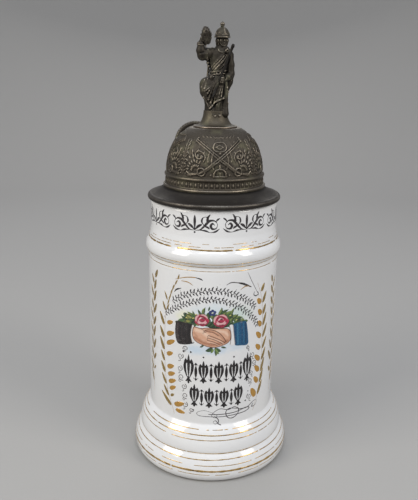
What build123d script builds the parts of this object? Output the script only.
"""A half-litre porcelain beer stein with a figural pewter lid, in millimetres.

The origin is the centre of the foot ring's resting plane, +Z is up, and the handle and the
lid's hinge lie towards +Y. The hinge axis runs along X. Every piece that a restorer could
take off the bench is a solid of its own, drawn with the lid closed.
"""
from build123d import *
from math import asin, cos, degrees, radians, sin
import os

os.makedirs("parts", exist_ok=True)

# ---- porcelain mug ----
body_r = 39.7            # outside of the straight wall
body_height = 165.7      # resting plane to rim
wall = 3.9               # thickness of the straight wall
neck_inset = 1.7         # the neck under the lid is this much slimmer than the wall
neck_wall = 3.6
neck_length = 15.7       # straight part of the neck, below the rim
rim_round = 1.6          # rounding of the drinking edge

foot_projection = 10.6   # widest point of the lower moulding, beyond the wall
foot_widest_z = 5.5
foot_rest_inset = 3.1    # from the widest point in to the resting ring's edge
foot_ring_width = 6.0
foot_recess = 8.0        # depth of the hollow under the mug's floor
crease_z = 17.8          # groove between the two foot mouldings
crease_depth = 0.45
upper_foot_projection = 6.4
upper_foot_top_z = 34.0

bead_below_rim = 27.7    # centre of the moulded ring under the neck
bead_projection = 1.7
bead_half = 4.8          # half the bead's height where it meets the wall
groove_depth = 0.6       # slight hollow just below the bead

ledge_z = 12.0           # seat of the translucent relief plate that closes the bottom
ledge_width = 2.8
plate_thickness = 3.0

# ---- porcelain handle ----
handle_width = 17.0
handle_thickness = 10.5
handle_round = 4.4
handle_below_rim = 13.7  # centre of the straight top arm
handle_bend_r = 22.0
handle_drop = 18.0       # straight stretch behind the hand
handle_sweep_r = 60.0    # large curve back to the wall
handle_sweep_turn = 73.0  # degrees, runs on into the wall and is trimmed there

# ---- pewter mounting on the handle, and the hinge ----
band_thickness = 1.3
band_length = 9.0
arm_past_band = 1.0      # the arm stays straight this far beyond the band
hinge_behind_flange = 8.6
hinge_above_flange = 5.0
ring_r = 4.0             # hinge rings
ring_width = 3.2
ring_gap = 0.25          # side play between neighbouring rings
pin_r = 1.5
pin_play = 0.05          # radial, in the lid's rings
swing_gap = 0.4          # radial room round anything that turns in the hinge
shank_thickness = 7.0
cap_r = 3.0
cap_height = 1.7
cap_seat = 0.8           # how far the pin reaches into each cap

# ---- pewter lid ----
lid_gap = 0.3            # flange to rim, with the lid closed
flange_overhang = 1.9    # beyond the neck
flange_edge = 3.0        # height of the flange's rounded edge
flange_top_rise = 7.2    # flange underside to the seat of the bell
lip_depth = 2.4          # locating lip that hangs inside the rim
lip_width = 2.3
lip_play = 0.7
bell_inset = 6.0         # foot of the dome, inside the neck's bore
bell_foot_flare = 1.9
bell_band_low = 2.0      # heights above the bell's seat
bell_band_high = 6.2
bell_height = 34.3
bell_crown = 9.5         # height of the rounded crown
bell_bead_r = 0.95
bell_shoulder_inset = 3.9
bell_top_inset = 13.8
bell_wall = 1.6
bell_top_wall = 2.0

# ---- thumb-lift, soldered over the hinge ----
lift_ring_r = 14.0
lift_ring_width = 3.4
lift_thickness = 3.6
lift_before_hinge = 4.5
lift_rise = 37.0         # top of the lift above the hinge axis
lift_stem_width = 9.0
palmette_r = 5.4
tang_half_width = 6.6
tang_thickness = 1.8     # over the hinge
tang_bite = 1.2          # how far the strap runs over the bell's foot

# ---- finial ----
front_turn = -13.0       # the figure and the painting face this far round from -Y
pedestal_foot_inset = 1.7  # from the edge of the bell's flat top
pedestal_lip = 1.0
pedestal_waist_r = 6.9
pedestal_height = 9.5
stud_r = 2.0
stud_play = 0.1
stud_in_pedestal = 5.0
stud_below_nut = 1.5
nut_across_flats = 7.0
nut_height = 3.2
washer_r = 5.0
washer_thickness = 1.0

# ---- sizes that follow from the ones above ----
inner_r = body_r - wall
neck_r = body_r - neck_inset
neck_inner_r = neck_r - neck_wall
neck_z = body_height - neck_length
foot_r = body_r + foot_projection
foot_rest_r = foot_r - foot_rest_inset
upper_foot_r = body_r + upper_foot_projection
crease_r = upper_foot_r - crease_depth
bead_z = body_height - bead_below_rim
bead_r = body_r + bead_projection
flange_r = neck_r + flange_overhang
flange_z = body_height + lid_gap
lip_outer_r = neck_inner_r - lip_play
bell_r = neck_inner_r - bell_inset
bell_foot_r = bell_r + bell_foot_flare
bell_seat_z = flange_z + flange_top_rise
band_z_low = bell_seat_z + bell_band_low
band_z_high = bell_seat_z + bell_band_high
bell_shoulder_r = bell_r - bell_shoulder_inset
bell_top_r = bell_r - bell_top_inset
bell_top_z = bell_seat_z + bell_height
bell_shoulder_z = bell_top_z - bell_crown
bell_roof_z = bell_top_z - bell_top_wall
hinge_y = flange_r + hinge_behind_flange
hinge_z = flange_z + hinge_above_flange
ring_pitch = ring_width + ring_gap
hinge_half = 2 * ring_pitch + ring_width / 2
handle_z = body_height - handle_below_rim
handle_arm_end = hinge_y + band_length / 2 + arm_past_band
handle_root = neck_inner_r
band_outer_w = handle_width + 2 * band_thickness
band_outer_t = handle_thickness + 2 * band_thickness
band_top_z = handle_z + band_outer_t / 2
strap_end_y = hinge_y - ring_r - swing_gap
pad_z = hinge_z + ring_r + swing_gap
tang_top_z = pad_z + tang_thickness
tang_front_y = bell_foot_r + tang_bite
lift_y = hinge_y - lift_before_hinge
lift_top_z = hinge_z + lift_rise
pedestal_foot_r = bell_top_r - pedestal_foot_inset
pedestal_top_z = bell_top_z + pedestal_height


def rise_arc_r(step, height):
    """Radius of an arc that starts vertical and ends `step` further in after `height`."""
    return (step * step + height * height) / (2 * step)


def bulge(widest_r, widest_z, end_r, end_z):
    """A moulding's arc from its widest point, where it is vertical, to its other end."""
    radius = rise_arc_r(widest_r - end_r, abs(end_z - widest_z))
    half_turn = degrees(asin(abs(end_z - widest_z) / radius)) / 2
    side = 1 if end_z > widest_z else -1
    middle = (
        widest_r - radius + radius * cos(radians(half_turn)),
        widest_z + side * radius * sin(radians(half_turn)),
    )
    return ThreePointArc((widest_r, widest_z), middle, (end_r, end_z))


def mug_outline():
    """The mug's outer profile in the XZ plane, from the resting ring up to the neck's top."""
    bulge(foot_r, foot_widest_z, foot_rest_r, 0)
    bulge(foot_r, foot_widest_z, crease_r, crease_z)
    Line((crease_r, crease_z), (upper_foot_r, crease_z + crease_depth))
    bulge(upper_foot_r, crease_z + crease_depth, body_r, upper_foot_top_z)
    bead_low = bead_z - bead_half
    bead_high = bead_z + bead_half
    Line((body_r, upper_foot_top_z), (body_r, bead_low - 3))
    Line((body_r, bead_low - 3), (body_r - groove_depth, bead_low))
    ThreePointArc((body_r - groove_depth, bead_low), (bead_r, bead_z), (body_r - 0.3, bead_high))
    Line((body_r - 0.3, bead_high), (neck_r, neck_z))
    Line((neck_r, neck_z), (neck_r, body_height - rim_round))


# The mug: a cast pot with two foot mouldings, a bead under the neck and an open bottom.
with BuildPart() as mug_body:
    with BuildSketch(Plane.XZ):
        with BuildLine():
            mug_outline()
            rim_middle_r = (neck_r + neck_inner_r) / 2
            ThreePointArc(
                (neck_r, body_height - rim_round),
                (rim_middle_r, body_height),
                (neck_inner_r, body_height - rim_round),
            )
            Polyline(
                (neck_inner_r, body_height - rim_round),
                (neck_inner_r, neck_z),
                (inner_r, bead_z),
                (inner_r, ledge_z),
                (inner_r - ledge_width, ledge_z),
                (inner_r - ledge_width, foot_recess),
                (foot_rest_r - foot_ring_width - 1.5, foot_recess - 2),
                (foot_rest_r - foot_ring_width, 0),
                (foot_rest_r, 0),
            )
        make_face()
    revolve(axis=Axis.Z)
mug_body.part.label = "mug_body"
export_step(mug_body.part, "parts/mug_body.step")

# The plate that closes the bottom, bedded on the ledge inside the foot.
with BuildPart() as lithophane_plate:
    with BuildSketch(Plane.XY.offset(ledge_z)):
        Circle(inner_r)
    extrude(amount=plate_thickness)
    fillet(lithophane_plate.edges().sort_by(Axis.Z)[-1], 0.6)
lithophane_plate.part.label = "lithophane_plate"
export_step(lithophane_plate.part, "parts/lithophane_plate.step")

# The handle: one drawn strap of rounded section, luted to the neck and the lower wall.
with BuildPart() as mug_handle:
    with BuildLine(Plane.YZ) as handle_line:
        arm_end = (handle_arm_end, handle_z)
        Line((handle_root, handle_z), arm_end)
        bend_middle = (
            handle_arm_end + handle_bend_r * sin(radians(45)),
            handle_z - handle_bend_r * (1 - cos(radians(45))),
        )
        back_y = handle_arm_end + handle_bend_r
        bend_end = (back_y, handle_z - handle_bend_r)
        ThreePointArc(arm_end, bend_middle, bend_end)
        drop_end_z = handle_z - handle_bend_r - handle_drop
        Line(bend_end, (back_y, drop_end_z))
        turns = [radians(handle_sweep_turn / 2), radians(handle_sweep_turn)]
        sweep_points = [
            (back_y - handle_sweep_r * (1 - cos(turn)), drop_end_z - handle_sweep_r * sin(turn))
            for turn in turns
        ]
        ThreePointArc((back_y, drop_end_z), *sweep_points)
    with BuildSketch(Plane((0, handle_root, handle_z), x_dir=(1, 0, 0), z_dir=(0, 1, 0))):
        RectangleRounded(handle_width, handle_thickness, handle_round)
    sweep(path=handle_line.wires()[0])
    with BuildSketch(Plane.XZ):
        with BuildLine():
            mug_outline()
            Polyline(
                (neck_r, body_height - rim_round),
                (0, body_height - rim_round),
                (0, 0),
                (foot_rest_r, 0),
            )
        make_face()
    revolve(axis=Axis.Z, mode=Mode.SUBTRACT)
mug_handle.part.label = "mug_handle"
export_step(mug_handle.part, "parts/mug_handle.step")

# The pewter band that is cast round the top arm of the handle.
with BuildPart() as handle_band:
    with BuildSketch(Plane.XZ.offset(-hinge_y)):
        with Locations((0, handle_z)):
            RectangleRounded(band_outer_w, band_outer_t, handle_round + band_thickness)
            RectangleRounded(handle_width, handle_thickness, handle_round, mode=Mode.SUBTRACT)
    extrude(amount=band_length / 2, both=True)
handle_band.part.label = "handle_band"
export_step(handle_band.part, "parts/handle_band.step")

# The hinge shank: a post on the band with the three fixed rings of a five-ring hinge.
fixed_rings = [(-2 * ring_pitch, 0), (0, 0), (2 * ring_pitch, 0)]
lid_rings = [(-ring_pitch, 0), (ring_pitch, 0)]
hinge_plane = Plane(origin=(0, hinge_y, hinge_z), x_dir=(0, 1, 0), z_dir=(1, 0, 0))
with BuildPart() as hinge_shank:
    with BuildSketch(Plane.XY.offset(band_top_z)):
        with Locations((0, hinge_y)):
            RectangleRounded(2 * hinge_half, shank_thickness, 1.2)
    extrude(amount=hinge_z - band_top_z)
    with BuildSketch(hinge_plane.offset(-hinge_half)):
        Circle(ring_r)
    extrude(amount=2 * hinge_half)
    for ring_x, _ in lid_rings:
        with BuildSketch(hinge_plane.offset(ring_x - ring_width / 2 - ring_gap)):
            Circle(ring_r + swing_gap)
            with Locations((0, ring_r)):
                Rectangle(2 * (ring_r + swing_gap), 2 * ring_r)
        extrude(amount=ring_width + 2 * ring_gap, mode=Mode.SUBTRACT)
    with BuildSketch(hinge_plane.offset(-hinge_half)):
        Circle(pin_r)
    extrude(amount=2 * hinge_half, mode=Mode.SUBTRACT)
hinge_shank.part.label = "hinge_shank"
export_step(hinge_shank.part, "parts/hinge_shank.step")

# The hinge pin, held fast in the fixed rings.
pin_half = hinge_half + cap_seat
with BuildPart() as hinge_pin:
    with BuildSketch(hinge_plane.offset(-pin_half)):
        Circle(pin_r)
    extrude(amount=2 * pin_half)
hinge_pin.part.label = "hinge_pin"
export_step(hinge_pin.part, "parts/hinge_pin.step")

# Two turned caps that cover the pin's ends.
with BuildPart() as pin_caps:
    with BuildSketch(Plane.XY.offset(hinge_z)):
        with BuildLine():
            foot = (hinge_half, hinge_y)
            crown = (hinge_half + cap_height, hinge_y)
            shoulder = (hinge_half + 0.8 * cap_height, hinge_y + 0.6 * cap_r)
            rim = (hinge_half, hinge_y + cap_r)
            Line(foot, crown)
            ThreePointArc(crown, shoulder, rim)
            Line(rim, foot)
        make_face()
    revolve(axis=Axis((0, hinge_y, hinge_z), (1, 0, 0)))
    with BuildSketch(hinge_plane.offset(hinge_half)):
        Circle(pin_r)
    extrude(amount=cap_seat, mode=Mode.SUBTRACT)
    mirror(about=Plane.YZ)
pin_caps.part.label = "pin_caps"
export_step(pin_caps.part, "parts/pin_caps.step")


# The lid's flange: a turned ring that closes on the rim, with a lip that centres it.
def flange_profile(bore_r):
    """The flange's section: rounded edge, hollow cone up to the bell's seat, and the bore."""
    edge_top = (flange_r - 1.3, flange_z + flange_edge)
    ThreePointArc(
        (flange_r - 0.6, flange_z), (flange_r, flange_z + flange_edge / 2), edge_top
    )
    seat = (bell_foot_r, bell_seat_z)
    cone_middle = ((edge_top[0] + seat[0]) / 2 - 0.3, (edge_top[1] + seat[1]) / 2 - 0.4)
    ThreePointArc(edge_top, cone_middle, seat)
    Polyline(seat, (bore_r, bell_seat_z), (bore_r, flange_z), (flange_r - 0.6, flange_z))


flange_bore_r = lip_outer_r - lip_width
seat_bore_r = bell_foot_r - bell_wall - 0.4
with BuildPart() as lid_flange:
    with BuildSketch(Plane.XZ):
        with BuildLine():
            flange_profile(seat_bore_r)
        make_face()
    revolve(axis=Axis.Z)
    with BuildSketch(Plane.XY.offset(flange_z)):
        Circle(lip_outer_r)
    extrude(amount=-lip_depth)
    with BuildSketch(Plane.XZ):
        with BuildLine():
            Polyline(
                (0, flange_z - lip_depth),
                (flange_bore_r, flange_z - lip_depth),
                (flange_bore_r, flange_z + flange_edge / 2),
                (seat_bore_r, bell_seat_z),
                (0, bell_seat_z),
                close=True,
            )
        make_face()
    revolve(axis=Axis.Z, mode=Mode.SUBTRACT)
lid_flange.part.label = "lid_flange"
export_step(lid_flange.part, "parts/lid_flange.step")

# The bell: a cast hollow dome with two beads and a band round its foot.
with BuildPart() as lid_bell:
    with BuildSketch(Plane.XZ):
        with BuildLine():
            band_r = bell_r + 0.45
            ThreePointArc(
                (bell_foot_r, bell_seat_z),
                (bell_foot_r - 0.1, bell_seat_z + 1.2),
                (band_r + 0.1, band_z_low),
            )
            Line((band_r + 0.1, band_z_low), (band_r, band_z_high))
            bead_top_z = band_z_high + 2.4 * bell_bead_r
            ThreePointArc(
                (band_r, band_z_high),
                (band_r + bell_bead_r, band_z_high + 1.2 * bell_bead_r),
                (bell_r, bead_top_z),
            )
            ThreePointArc(
                (bell_r, bead_top_z),
                (bell_r - 1.05, (bead_top_z + bell_shoulder_z) / 2 + 0.7),
                (bell_shoulder_r, bell_shoulder_z),
            )
            crown_middle = (
                bell_top_r + 0.63 * (bell_shoulder_r - bell_top_r),
                bell_shoulder_z + 0.5 * bell_crown,
            )
            crown_start = (bell_shoulder_r, bell_shoulder_z)
            ThreePointArc(crown_start, crown_middle, (bell_top_r, bell_top_z))
            Line((bell_top_r, bell_top_z), (0, bell_top_z))
            Line((0, bell_top_z), (0, bell_roof_z))
            inner_side_r = bell_r - bell_wall
            Line((0, bell_roof_z), (bell_top_r - 1.2, bell_roof_z))
            ThreePointArc(
                (bell_top_r - 1.2, bell_roof_z),
                (bell_shoulder_r - 3.0, bell_shoulder_z + 1.2),
                (inner_side_r, bell_shoulder_z - 12),
            )
            Polyline(
                (inner_side_r, bell_shoulder_z - 12),
                (inner_side_r, bead_top_z),
                (seat_bore_r, band_z_low),
                (seat_bore_r, bell_seat_z),
                (bell_foot_r, bell_seat_z),
            )
        make_face()
    revolve(axis=Axis.Z)
    with BuildSketch(Plane.XY.offset(bell_top_z)):
        Circle(stud_r + stud_play)
    extrude(amount=-bell_top_wall, mode=Mode.SUBTRACT)
lid_bell.part.label = "lid_bell"
export_step(lid_bell.part, "parts/lid_bell.step")

# The tang: a strap soldered on the flange, with the two moving rings and the lift's pad.
with BuildPart() as lid_tang:
    with BuildSketch(Plane.YZ.offset(-tang_half_width)):
        with BuildLine():
            Polyline(
                (tang_front_y, bell_seat_z - 0.6),
                (tang_front_y + 2, tang_top_z - 1.6),
                (tang_front_y + 7, tang_top_z),
                (hinge_y - 1.5, tang_top_z),
                (hinge_y - 1.5, pad_z),
                (strap_end_y, pad_z),
                (strap_end_y, flange_z + flange_edge),
                (tang_front_y, flange_z + flange_edge),
                close=True,
            )
        make_face()
    extrude(amount=2 * tang_half_width)
    for ring_x, _ in lid_rings:
        with BuildSketch(hinge_plane.offset(ring_x - ring_width / 2)):
            Circle(ring_r)
            with Locations((-ring_r, 0)):
                Rectangle(2 * (ring_r - 1), ring_r)
        extrude(amount=ring_width)
    with BuildSketch(hinge_plane.offset(-hinge_half)):
        Circle(pin_r + pin_play)
    extrude(amount=2 * hinge_half, mode=Mode.SUBTRACT)
    with BuildSketch(Plane.XZ):
        with BuildLine():
            flange_profile(0)
        make_face()
    revolve(axis=Axis.Z, mode=Mode.SUBTRACT)
    with BuildSketch(Plane.XY.offset(bell_seat_z)):
        Circle(bell_foot_r + 0.3)
    extrude(amount=tang_top_z, mode=Mode.SUBTRACT)
lid_tang.part.label = "lid_tang"
export_step(lid_tang.part, "parts/lid_tang.step")

# The thumb-lift: a cast open ring on a short stem, with a palmette inside it.
lift_centre_z = lift_top_z - lift_ring_r
with BuildPart() as thumb_lift:
    with BuildSketch(Plane.XZ.offset(-lift_y)):
        with Locations((0, lift_centre_z)):
            Circle(lift_ring_r)
            Circle(lift_ring_r - lift_ring_width, mode=Mode.SUBTRACT)
        stem_height = lift_centre_z - palmette_r - tang_top_z
        with Locations((0, tang_top_z + stem_height / 2)):
            Rectangle(lift_stem_width, stem_height)
        with Locations((0, lift_centre_z - 1)):
            Ellipse(palmette_r, palmette_r + 3)
    extrude(amount=lift_thickness / 2, both=True)
thumb_lift.part.label = "thumb_lift"
export_step(thumb_lift.part, "parts/thumb_lift.step")

# The pedestal: a turned flare that carries the figure on the bell's flat top.
with BuildPart() as finial_pedestal:
    with BuildSketch(Plane.XZ):
        with BuildLine():
            lip_top_z = bell_top_z + pedestal_lip
            flare_r = pedestal_foot_r - 1.0
            Polyline((0, bell_top_z), (pedestal_foot_r, bell_top_z), (pedestal_foot_r, lip_top_z))
            Line((pedestal_foot_r, lip_top_z), (flare_r, lip_top_z))
            EllipticalCenterArc(
                (flare_r, pedestal_top_z),
                flare_r - pedestal_waist_r,
                pedestal_top_z - lip_top_z,
                start_angle=180,
                arc_size=90,
            )
            Line((pedestal_waist_r, pedestal_top_z), (0, pedestal_top_z))
            Line((0, pedestal_top_z), (0, bell_top_z))
        make_face()
    revolve(axis=Axis.Z)
    with BuildSketch(Plane.XY.offset(bell_top_z)):
        Circle(stud_r)
    extrude(amount=stud_in_pedestal, mode=Mode.SUBTRACT)
finial_pedestal.part.label = "finial_pedestal"
export_step(finial_pedestal.part, "parts/finial_pedestal.step")

# The stud, washer and nut that hold the finial, inside the bell.
washer_z = bell_roof_z - washer_thickness
nut_z = washer_z - nut_height
stud_low_z = nut_z - stud_below_nut
with BuildPart() as finial_stud:
    with BuildSketch(Plane.XY.offset(stud_low_z)):
        Circle(stud_r)
    extrude(amount=bell_top_z + stud_in_pedestal - stud_low_z)
    chamfer(finial_stud.edges().sort_by(Axis.Z)[0], 0.5)
finial_stud.part.label = "finial_stud"
export_step(finial_stud.part, "parts/finial_stud.step")

with BuildPart() as finial_washer:
    with BuildSketch(Plane.XY.offset(washer_z)):
        Circle(washer_r)
        Circle(stud_r + stud_play, mode=Mode.SUBTRACT)
    extrude(amount=washer_thickness)
finial_washer.part.label = "finial_washer"
export_step(finial_washer.part, "parts/finial_washer.step")

with BuildPart() as finial_nut:
    with BuildSketch(Plane.XY.offset(nut_z)):
        RegularPolygon(nut_across_flats / 2, 6, major_radius=False)
        Circle(stud_r, mode=Mode.SUBTRACT)
    extrude(amount=nut_height)
finial_nut.part.label = "finial_nut"
export_step(finial_nut.part, "parts/finial_nut.step")

# ---- the figure: a helmeted man in a draped cloak, cast with its lowered arm ----
# Heights are above the pedestal, x is to the figure's left-hand side of the view, y inwards.
figure_height = 48.7
figure_plane = Plane(
    origin=(0, 0, pedestal_top_z),
    x_dir=(cos(radians(front_turn)), sin(radians(front_turn)), 0),
    z_dir=(0, 0, 1),
)
hem_size = (6.4, 6.0)
hip_size = (8.9, 6.6)
waist_size = (5.7, 4.6)
chest_size = (7.3, 4.8)
neck_size = (2.6, 2.6)
hip_height = 10.5
waist_height = 21.0
chest_height = 29.5
neck_height = 35.5
body_sections = [
    (0.0, 0.8, hem_size),
    (hip_height / 2, 0.4, (hip_size[0] - 1.4, hip_size[1])),
    (hip_height, -0.6, hip_size),
    ((hip_height + waist_height) / 2, 0.6, (hip_size[0] - 1.4, hip_size[1] - 0.6)),
    (waist_height, 1.3, waist_size),
    (chest_height, 1.8, chest_size),
    (neck_height, 2.8, neck_size),
]
head_centre = (3.2, -0.6, 39.4)
head_r = 4.0
helmet_r = 4.9
helmet_height = 41.4
crest_r = 1.35


def limb(start, end, start_r, end_r):
    """A tapered round limb between two points of the figure, with rounded ends."""
    start_point = figure_plane.from_local_coords(Vector(*start))
    end_point = figure_plane.from_local_coords(Vector(*end))
    along = end_point - start_point
    with BuildPart() as piece:
        with BuildSketch(Plane(start_point, z_dir=along)):
            Circle(start_r)
        with BuildSketch(Plane(start_point, z_dir=along).offset(along.length)):
            Circle(end_r)
        loft()
        with Locations(start_point):
            Sphere(start_r)
        with Locations(end_point):
            Sphere(end_r)
    return piece.part


with BuildPart() as figure_body:
    for height, shift, (half_x, half_y) in body_sections:
        section_plane = figure_plane.offset(height)
        with BuildSketch(section_plane):
            with Locations((shift, 0)):
                Ellipse(half_x, half_y)
    loft()
    add(limb((2.8, 0, neck_height - 1), head_centre, 2.5, head_r))
    with BuildSketch(figure_plane.offset(helmet_height)):
        with Locations((head_centre[0], head_centre[1] + 0.3)):
            Circle(helmet_r + 0.5)
    extrude(amount=0.9)
    dome_centre = (head_centre[0], head_centre[1] + 0.3, helmet_height + 0.4)
    with Locations(Location(figure_plane.from_local_coords(Vector(*dome_centre)))):
        Sphere(helmet_r - 0.2)
    crest = (head_centre[0], head_centre[1] + 0.3, figure_height - crest_r)
    add(limb((crest[0], crest[1], crest[2] - 3), crest, 0.8, crest_r))
    left_shoulder = (7.0, 0.4, chest_height + 1.5)
    left_elbow = (7.6, 1.2, 20.5)
    left_hand = (6.6, -3.0, 15.5)
    add(limb(left_shoulder, left_elbow, 2.6, 2.7))
    add(limb(left_elbow, left_hand, 2.7, 1.9))
figure_body.part.label = "figure_body"
export_step(figure_body.part, "parts/figure_body.step")

# The raised arm, cast apart and soldered on at the shoulder.
right_shoulder = (-4.0, -0.4, chest_height + 2.4)
right_elbow = (-8.6, -2.4, 29.8)
right_wrist = (-9.2, -2.6, 36.4)
right_hand = (-7.6, -2.8, 39.6)
with BuildPart() as figure_arm:
    add(limb(right_shoulder, right_elbow, 2.7, 2.8))
    add(limb(right_elbow, right_wrist, 2.7, 1.9))
    add(limb(right_wrist, right_hand, 1.8, 1.8))
figure_arm.part.label = "figure_arm"
export_step(figure_arm.part, "parts/figure_arm.step")

# The hop cone that the hand holds up.
cone_low = (-5.9, -3.0, 37.4)
cone_height = 8.4
cone_r = 2.6
with BuildPart() as hop_cone:
    cone_origin = figure_plane.from_local_coords(Vector(*cone_low))
    with BuildSketch(Plane(cone_origin, x_dir=(1, 0, 0), z_dir=(0, -1, 0))):
        with BuildLine():
            Line((0, 0), (0, cone_height))
            low_pull = (1.7 * cone_r, 0.1 * cone_height)
            high_pull = (1.0 * cone_r, 0.8 * cone_height)
            Bezier((0, 0), low_pull, high_pull, (0, cone_height))
        make_face()
    revolve(axis=Axis(cone_origin, (0, 0, 1)))
hop_cone.part.label = "hop_cone"
export_step(hop_cone.part, "parts/hop_cone.step")

# The staff carried over the shoulder and across the body.
staff_top = (9.4, -2.6, 36.6)
staff_foot = (-1.6, -6.2, 6.5)
staff_r = 0.75
with BuildPart() as figure_staff:
    add(limb(staff_foot, staff_top, staff_r, staff_r))
figure_staff.part.label = "figure_staff"
export_step(figure_staff.part, "parts/figure_staff.step")
